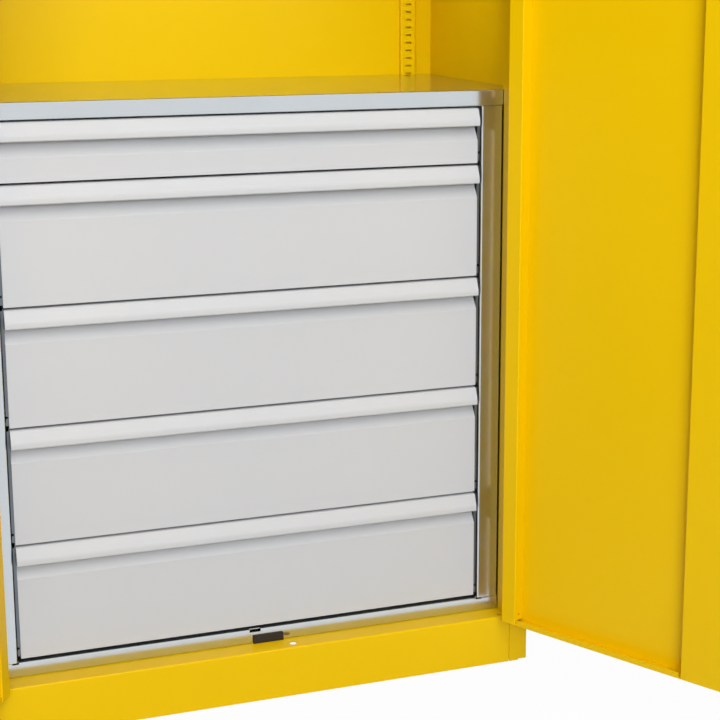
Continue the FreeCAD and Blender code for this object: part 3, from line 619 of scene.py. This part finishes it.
@dataclass(frozen=True)
class LockRing:
    """The bright ring round the lock core, in millimetres."""

    radius: float = 7.6
    wire_radius: float = 0.9
    boss_reach: float = 15.2
    steps: int = 48
    around: int = 12

    def build(self, workshop: Workshop) -> bpy.types.Object:
        """Makes the ring on the boss of the handle.

        Args:
            workshop: makes the piece.

        Returns:
            The piece, which turns with the handle.
        """
        joint = workshop.joints["key_turn"]
        centre, axis = Vector(joint["pos_m"]), Vector(joint["axis"]).normalized()
        if sum((corner - centre).dot(axis) for corner in workshop.corners("lock_core")) < 0:
            axis = -axis
        boss = [corner - centre for corner in workshop.corners("handle_lever")]
        near = [
            offset for offset in boss
            if (offset - offset.dot(axis) * axis).length < self.boss_reach * MM
        ]
        face = max(offset.dot(axis) for offset in near)
        shape = bmesh.new()
        wire = bmesh.ops.create_circle(
            shape, segments=self.around, radius=self.wire_radius * MM
        )["verts"]
        bmesh.ops.rotate(shape, verts=wire, matrix=Matrix.Rotation(math.radians(90), 3, "X"))
        bmesh.ops.translate(shape, verts=wire, vec=(self.radius * MM, 0.0, 0.0))
        bmesh.ops.spin(
            shape, geom=[*shape.verts, *shape.edges], cent=(0.0, 0.0, 0.0), axis=(0.0, 0.0, 1.0),
            angle=math.tau, steps=self.steps, use_merge=True,
        )
        turn = Vector((0.0, 0.0, 1.0)).rotation_difference(axis).to_matrix().to_4x4()
        seat = Matrix.Translation(centre + face * axis)
        bmesh.ops.transform(shape, matrix=seat @ turn, verts=shape.verts)
        return workshop.fit("lock_ring", shape, Look.CHROME, "handle")


@dataclass(frozen=True)
class HingeCaps:
    """The domed caps on the hinges of a door, in millimetres."""

    radius: float = 3.6
    rise: float = 1.6
    segments: int = 20
    hinge_gap: float = 100.0

    def build(self, workshop: Workshop, side: Side) -> bpy.types.Object:
        """Makes the caps of one door.

        Args:
            workshop: makes the piece.
            side: the side that the door hangs on.

        Returns:
            The piece, which turns with the door.
        """
        place = Vector(workshop.joints[f"door_{side.word}_hinge"]["pos_m"])
        levels = sorted(corner.z for corner in workshop.corners(f"door_knuckles_{side.word}"))
        tops = [low for low, high in zip(levels, levels[1:]) if high - low > self.hinge_gap * MM]
        tops.append(levels[-1])
        shape = bmesh.new()
        for top in tops:
            ball = bmesh.ops.create_uvsphere(
                shape,
                u_segments=self.segments,
                v_segments=self.segments // 2,
                radius=self.radius * MM,
            )["verts"]
            bmesh.ops.scale(shape, verts=ball, vec=(1.0, 1.0, self.rise / self.radius))
            bmesh.ops.translate(shape, verts=ball, vec=(place.x, place.y, top))
        return workshop.fit(f"hinge_caps_{side.word}", shape, Look.CHROME, f"door_{side.word}")


@dataclass
class Viewpoint:
    """The picture's camera, in millimetres, degrees and pixels of the 720-pixel picture."""

    place: tuple[float, float, float] = (-677.61, -2525.72, 1246.27)
    turn: float = 20.186
    tilt: float = 11.639
    focal: float = 1599.1
    aside: float = -40.5
    down: float = -57.1
    sensor: float = 36.0
    nearest: float = 50.0
    farthest: float = 100000.0

    def build(self) -> bpy.types.Object:
        """Makes the camera.

        Returns:
            The scene's camera.
        """
        data = bpy.data.cameras.new("viewpoint")
        data.sensor_width = self.sensor
        data.lens = self.focal / PICTURE * self.sensor
        data.shift_x = self.aside / PICTURE
        data.shift_y = self.down / PICTURE
        data.clip_start = self.nearest * MM
        data.clip_end = self.farthest * MM
        camera = bpy.data.objects.new("viewpoint", data)
        camera.location = Vector(self.place) * MM
        camera.rotation_euler = (math.radians(90 - self.tilt), 0.0, math.radians(-self.turn))
        bpy.context.scene.collection.objects.link(camera)
        bpy.context.scene.camera = camera
        return camera


@dataclass
class Lamp:
    """A soft box that looks at a point, in metres and watts; a height of 0 makes it square."""

    name: str
    place: tuple[float, float, float]
    target: tuple[float, float, float]
    width: float
    power: float
    height: float = 0.0

    def build(self) -> bpy.types.Object:
        """Makes the lamp.

        Returns:
            The lamp's object.
        """
        data = bpy.data.lights.new(self.name, "AREA")
        data.shape = "RECTANGLE"
        data.size = self.width
        data.size_y = self.height or self.width
        data.energy = self.power
        lamp = bpy.data.objects.new(self.name, data)
        lamp.location = self.place
        way = Vector(self.target) - Vector(self.place)
        lamp.rotation_euler = way.to_track_quat("-Z", "Y").to_euler()
        lamp.visible_glossy = False
        lamp.visible_camera = False
        bpy.context.scene.collection.objects.link(lamp)
        return lamp


@dataclass
class Studio:
    """The floor, the soft light and the white surroundings, in metres."""

    floor_size: float = 30.0
    floor_tone: int = 170
    floor_roughness: float = 0.9
    floor_glow: float = 0.97
    ambient: float = 0.1
    lamps: tuple[Lamp, ...] = (
        Lamp("front_box", (-0.5, -5.0, 2.0), (0.0, 0.2, 0.9), 2.0, 112.0),
        Lamp("side_box", (-1.9, -5.0, 1.8), (0.0, 0.2, 0.9), 1.6, 66.0),
        Lamp("high_box", (0.0, -3.4, 3.6), (0.0, 0.0, 0.8), 2.0, 60.0),
        Lamp("top_box", (0.0, -1.5, 4.5), (0.0, 0.1, 0.6), 2.4, 45.0),
        Lamp("flank_box_right", (5.0, 1.5, 2.4), (0.0, 0.2, 1.0), 2.4, 110.0),
        Lamp("flank_box_left", (-5.0, 1.5, 2.4), (0.0, 0.2, 1.0), 2.4, 110.0),
        Lamp("lower_bay_strip", (0.0, 0.16, 1.3), (0.0, 0.48, 1.1), 0.8, 0.95, 0.1),
        Lamp("middle_bay_strip", (0.0, 0.16, 1.6), (0.0, 0.48, 1.4), 0.8, 0.95, 0.1),
        Lamp("upper_bay_strip", (0.0, 0.16, 1.89), (0.0, 0.48, 1.7), 0.8, 0.95, 0.1),
        Lamp("rear_box_right", (3.5, 5.0, 2.6), (0.0, 0.3, 1.0), 2.4, 150.0),
        Lamp("rear_box_left", (-3.5, 5.0, 2.6), (0.0, 0.3, 1.0), 2.4, 150.0),
    )

    def seen_plainly(self, shade: Shade) -> bpy.types.NodeSocket:
        """Adds a mask of the rays that should meet a plain white.

        Args:
            shade: the tree that gets the mask.

        Returns:
            1 for camera, glossy and transmission rays, and 0 for others.
        """
        path = shade.add("LightPath")
        first = shade.add("Math", operation="ADD", use_clamp=True)
        second = shade.add("Math", operation="ADD", use_clamp=True)
        shade.join(path.outputs["Is Camera Ray"], first.inputs[0])
        shade.join(path.outputs["Is Glossy Ray"], first.inputs[1])
        shade.join(first.outputs["Value"], second.inputs[0])
        shade.join(path.outputs["Is Transmission Ray"], second.inputs[1])
        return second.outputs["Value"]

    def surround(self) -> None:
        """Makes the world: soft light all round, and white where it is seen."""
        world = bpy.data.worlds.new("surroundings")
        world.use_nodes = True
        bpy.context.scene.world = world
        shade = Shade(world.node_tree)
        background = world.node_tree.nodes["Background"]
        strength = shade.add("MapRange")
        strength.inputs["To Min"].default_value = self.ambient
        strength.inputs["To Max"].default_value = 1.0
        shade.join(self.seen_plainly(shade), strength.inputs["Value"])
        background.inputs["Color"].default_value = (1.0, 1.0, 1.0, 1.0)
        shade.join(strength.outputs["Result"], background.inputs["Strength"])

    def lay_floor(self) -> bpy.types.Object:
        """Makes the pale floor, which keeps the cabinet's shadow.

        Returns:
            The floor.
        """
        mesh = bpy.data.meshes.new("floor")
        plane = bmesh.new()
        bmesh.ops.create_grid(plane, x_segments=1, y_segments=1, size=self.floor_size / 2)
        plane.to_mesh(mesh)
        plane.free()
        floor = bpy.data.objects.new("floor", mesh)
        bpy.context.scene.collection.objects.link(floor)
        material = bpy.data.materials.new("pale_floor")
        material.use_nodes = True
        shade = Shade(material.node_tree)
        shader = material.node_tree.nodes["Principled BSDF"]
        shader.inputs["Base Color"].default_value = linear(*(self.floor_tone,) * 3)
        shader.inputs["Roughness"].default_value = self.floor_roughness
        shader.inputs["Specular IOR Level"].default_value = 0.0
        glow = shade.add("Emission")
        blend = shade.add("MixShader")
        share = shade.add("MapRange")
        share.inputs["To Max"].default_value = self.floor_glow
        shade.join(self.seen_plainly(shade), share.inputs["Value"])
        shade.join(share.outputs["Result"], blend.inputs["Fac"])
        shade.join(shader.outputs["BSDF"], blend.inputs[1])
        shade.join(glow.outputs["Emission"], blend.inputs[2])
        output = material.node_tree.nodes["Material Output"]
        shade.join(blend.outputs["Shader"], output.inputs["Surface"])
        mesh.materials.append(material)
        return floor

    def build(self) -> None:
        """Sets up the floor, the lamps and the view's plain settings."""
        self.surround()
        self.lay_floor()
        for lamp in self.lamps:
            lamp.build()
        bpy.context.scene.view_settings.view_transform = "Standard"


def main() -> None:
    """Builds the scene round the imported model."""
    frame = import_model()
    Viewpoint().build()
    paintshop = Paintshop()
    paintshop.dress_nodes(frame["nodes"])
    workshop = Workshop(frame, paintshop)
    for number in range(1, DRAWERS + 1):
        DrawerEars().build(workshop, number)
    LockRing().build(workshop)
    for side in Side:
        HingeCaps().build(workshop, side)
        SeamBacking().build(workshop, side)
    Studio().build()


if __name__ == "__main__":
    logging.basicConfig(level=logging.INFO, format="%(message)s")
    main()
